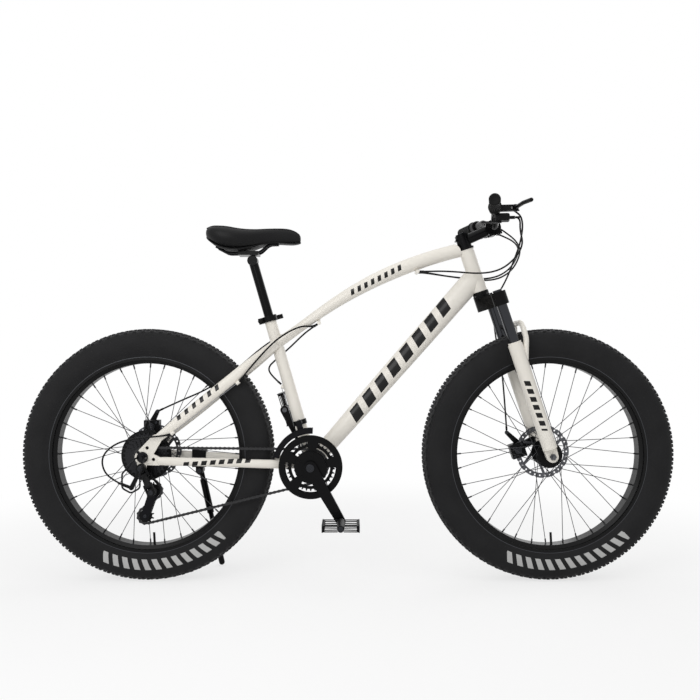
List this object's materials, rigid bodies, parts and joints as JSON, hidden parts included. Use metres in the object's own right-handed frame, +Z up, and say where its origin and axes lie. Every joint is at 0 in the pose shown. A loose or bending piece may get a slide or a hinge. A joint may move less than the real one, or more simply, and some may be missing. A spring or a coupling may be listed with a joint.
{
  "type": "fat tire bicycle",
  "caption": "Fat tire mountain bicycle with suspension fork, disc brakes, derailleur chain drive, kickstand and adjustable saddle; wheels, steering, cranks, brakes and gears all move.",
  "frame": {"origin": "on the ground under the middle of the bicycle, midway between the two axles", "axes": "+X points forward, +Y to the rider's left, +Z up"},
  "size_m": [1.905, 0.6712, 1.0803],
  "materials": {
    "frame_paint": "gloss off-white paint",
    "fork_paint": "gloss off-white paint on cast alloy",
    "black_paint": "gloss black paint",
    "black_alloy": "satin black anodised",
    "dark_steel": "dark brushed steel",
    "chain_steel": "oiled steel",
    "axle_steel": "zinc plated steel",
    "stanchion_chrome": "dark polished chrome",
    "tire_rubber": "matte black",
    "tube_rubber": "matte black butyl",
    "grip_rubber": "matte black",
    "black_plastic": "moulded matte black",
    "saddle_cover": "black vinyl, semi gloss",
    "cable_cover": "black cable housing"
  },
  "bodies": {
    "frame": {"head_tube": "frame_paint", "top_tube": "frame_paint", "down_tube": "frame_paint", "seat_tube": "frame_paint", "rear_stays": "frame_paint", "bearing_cups": "black_alloy", "seat_clamp": "black_alloy", "frame_cables": "cable_cover", "front_derailleur_base": "black_alloy", "rear_derailleur_base": "black_plastic", "rear_axle": "axle_steel", "rear_caliper": "black_alloy", "kickstand_bracket": "black_alloy", "chain": "chain_steel"},
    "seat_lever": {"seat_clamp_lever": "black_alloy"},
    "seat": {"seatpost": "black_alloy", "saddle_rails": "dark_steel", "saddle_base": "black_plastic", "saddle_pad": "saddle_cover"},
    "steering": {"fork_crown": "black_alloy", "fork_stanchions": "stanchion_chrome", "stem": "black_alloy", "handlebar": "black_alloy", "grips": "grip_rubber", "control_pods": "black_plastic", "control_cables": "cable_cover"},
    "right_brake_lever": {"right_brake_lever": "black_alloy"},
    "left_brake_lever": {"left_brake_lever": "black_alloy"},
    "right_shift_lever": {"right_shift_lever": "black_plastic"},
    "left_shift_lever": {"left_shift_lever": "black_plastic"},
    "fork_lower": {"fork_lowers": "fork_paint", "front_axle": "axle_steel", "front_caliper": "black_alloy"},
    "front_brake_arm": {"front_caliper_arm": "black_alloy"},
    "front_wheel": {"front_tire": "tire_rubber", "front_inner_tube": "tube_rubber", "front_rim": "black_alloy", "front_spokes": "dark_steel", "front_hub": "black_alloy", "front_rotor": "dark_steel"},
    "rear_wheel": {"rear_tire": "tire_rubber", "rear_inner_tube": "tube_rubber", "rear_rim": "black_alloy", "rear_spokes": "dark_steel", "rear_hub": "black_alloy", "rear_rotor": "dark_steel"},
    "freewheel": {"freewheel": "dark_steel"},
    "rear_brake_arm": {"rear_caliper_arm": "black_alloy"},
    "crank": {"crank_arms": "black_alloy", "crank_spindle": "axle_steel", "chainrings": "black_paint"},
    "right_pedal": {"right_pedal": "black_plastic"},
    "left_pedal": {"left_pedal": "black_plastic"},
    "kickstand": {"kickstand_leg": "black_alloy"},
    "rd_link": {"rear_derailleur_link": "black_plastic"},
    "rd_knuckle": {"rear_derailleur_knuckle": "black_plastic"},
    "rd_cage": {"rear_derailleur_cage": "dark_steel"},
    "guide_pulley": {"guide_pulley": "black_plastic"},
    "tension_pulley": {"tension_pulley": "black_plastic"},
    "fd_cage": {"front_derailleur_cage": "dark_steel"}
  },
  "joints": [
    {"name": "steering_turn", "type": "hinge", "parent": "frame", "child": "steering", "pos_m": [0.55276, 0, 0.35671], "axis": [-0.3173, 0, 0.9483], "range_deg": [-60, 60], "deforming": ["control_cables"]},
    {"name": "fork_travel", "type": "slide", "parent": "steering", "child": "fork_lower", "axis": [-0.3173, 0, 0.9483], "range_m": [0, 0.08], "stiffness_N_per_m": 8000, "springref_m": -0.05, "deforming": ["control_cables"]},
    {"name": "front_wheel_spin", "type": "hinge", "parent": "fork_lower", "child": "front_wheel", "pos_m": [0.585, 0, 0.3675], "axis": [0, 1, 0], "continuous": true},
    {"name": "rear_wheel_spin", "type": "hinge", "parent": "frame", "child": "rear_wheel", "pos_m": [-0.585, 0, 0.3675], "axis": [0, 1, 0], "continuous": true},
    {"name": "crank_spin", "type": "hinge", "parent": "frame", "child": "crank", "pos_m": [-0.1075, 0, 0.338], "axis": [0, 1, 0], "continuous": true, "deforming": ["chain"]},
    {"name": "freewheel_spin", "type": "hinge", "parent": "frame", "child": "freewheel", "pos_m": [-0.585, 0, 0.3675], "axis": [0, 1, 0], "continuous": true, "deforming": ["chain"]},
    {"name": "right_pedal_spin", "type": "hinge", "parent": "crank", "child": "right_pedal", "pos_m": [-0.02, -0.162, 0.18645], "axis": [0, 1, 0], "continuous": true},
    {"name": "left_pedal_spin", "type": "hinge", "parent": "crank", "child": "left_pedal", "pos_m": [-0.195, 0.162, 0.48955], "axis": [0, 1, 0], "continuous": true},
    {"name": "seatpost_slide", "type": "slide", "parent": "frame", "child": "seat", "axis": [-0.279, 0, 0.9603], "range_m": [-0.1, 0.05]},
    {"name": "seat_clamp_lever", "type": "hinge", "parent": "frame", "child": "seat_lever", "pos_m": [-0.2584, 0.024, 0.75704], "axis": [-0.279, 0, 0.9603], "range_deg": [0, 120]},
    {"name": "kickstand_swing", "type": "hinge", "parent": "frame", "child": "kickstand", "pos_m": [-0.452, 0.1065, 0.306], "axis": [0, 1, 0], "range_deg": [0, 95]},
    {"name": "right_brake_pull", "type": "hinge", "parent": "steering", "child": "right_brake_lever", "pos_m": [0.4575, -0.19224, 1.06136], "axis": [0, 0, -1], "range_deg": [0, 22], "stiffness_Nm_per_rad": 1, "springref_deg": -11.46},
    {"name": "left_brake_pull", "type": "hinge", "parent": "steering", "child": "left_brake_lever", "pos_m": [0.4575, 0.19224, 1.06136], "axis": [0, 0, 1], "range_deg": [0, 22], "stiffness_Nm_per_rad": 1, "springref_deg": -11.46},
    {"name": "right_shift_push", "type": "hinge", "parent": "steering", "child": "right_shift_lever", "pos_m": [0.4148, -0.17489, 1.02736], "axis": [0, 0, -1], "range_deg": [0, 25], "stiffness_Nm_per_rad": 0.01, "springref_deg": -11.46},
    {"name": "left_shift_push", "type": "hinge", "parent": "steering", "child": "left_shift_lever", "pos_m": [0.4148, 0.17489, 1.02736], "axis": [0, 0, 1], "range_deg": [0, 25], "stiffness_Nm_per_rad": 0.01, "springref_deg": -11.46},
    {"name": "front_brake_arm_turn", "type": "hinge", "parent": "fork_lower", "child": "front_brake_arm", "pos_m": [0.51667, 0.0815, 0.38893], "axis": [0, 1, 0], "range_deg": [0, 18], "deforming": ["control_cables"]},
    {"name": "rear_brake_arm_turn", "type": "hinge", "parent": "frame", "child": "rear_brake_arm", "pos_m": [-0.6, 0.0935, 0.4515], "axis": [0, 1, 0], "range_deg": [0, 18], "deforming": ["frame_cables"]},
    {"name": "rear_shift_turn", "type": "hinge", "parent": "frame", "child": "rd_link", "pos_m": [-0.5776, -0.103, 0.31761], "axis": [0.9041, 0, 0.4274], "range_deg": [-8.9, 50.2], "stiffness_Nm_per_rad": 2, "deforming": ["chain", "frame_cables"]},
    {"name": "rear_knuckle_turn", "type": "hinge", "parent": "rd_link", "child": "rd_knuckle", "pos_m": [-0.564, -0.115, 0.28885], "axis": [0.9041, 0, 0.4274], "range_deg": [-50.2, 8.9], "deforming": ["chain"]},
    {"name": "rear_cage_turn", "type": "hinge", "parent": "rd_knuckle", "child": "rd_cage", "pos_m": [-0.55546, -0.092, 0.27077], "axis": [0, 1, 0], "range_deg": [-60, 20], "stiffness_Nm_per_rad": 1, "deforming": ["chain"]},
    {"name": "guide_pulley_spin", "type": "hinge", "parent": "rd_cage", "child": "guide_pulley", "pos_m": [-0.55546, -0.0777, 0.27077], "axis": [0, 1, 0], "continuous": true, "deforming": ["chain"]},
    {"name": "tension_pulley_spin", "type": "hinge", "parent": "rd_cage", "child": "tension_pulley", "pos_m": [-0.57938, -0.0777, 0.19863], "axis": [0, 1, 0], "continuous": true, "deforming": ["chain"]},
    {"name": "front_shift_slide", "type": "slide", "parent": "frame", "child": "fd_cage", "axis": [0, -1, 0], "range_m": [0, 0.015], "stiffness_N_per_m": 300, "springref_m": -0.01, "deforming": ["chain", "frame_cables"]}
  ],
  "couplings": [
    {"joint": "freewheel_spin", "follows": "crank_spin", "ratio": 1.8462},
    {"joint": "tension_pulley_spin", "follows": "crank_spin", "ratio": 2.1818},
    {"joint": "guide_pulley_spin", "follows": "crank_spin", "ratio": -2.1818},
    {"joint": "rear_knuckle_turn", "follows": "rear_shift_turn", "ratio": -1},
    {"joint": "front_brake_arm_turn", "follows": "right_brake_pull", "ratio": 0.8},
    {"joint": "rear_brake_arm_turn", "follows": "left_brake_pull", "ratio": 0.8}
  ]
}
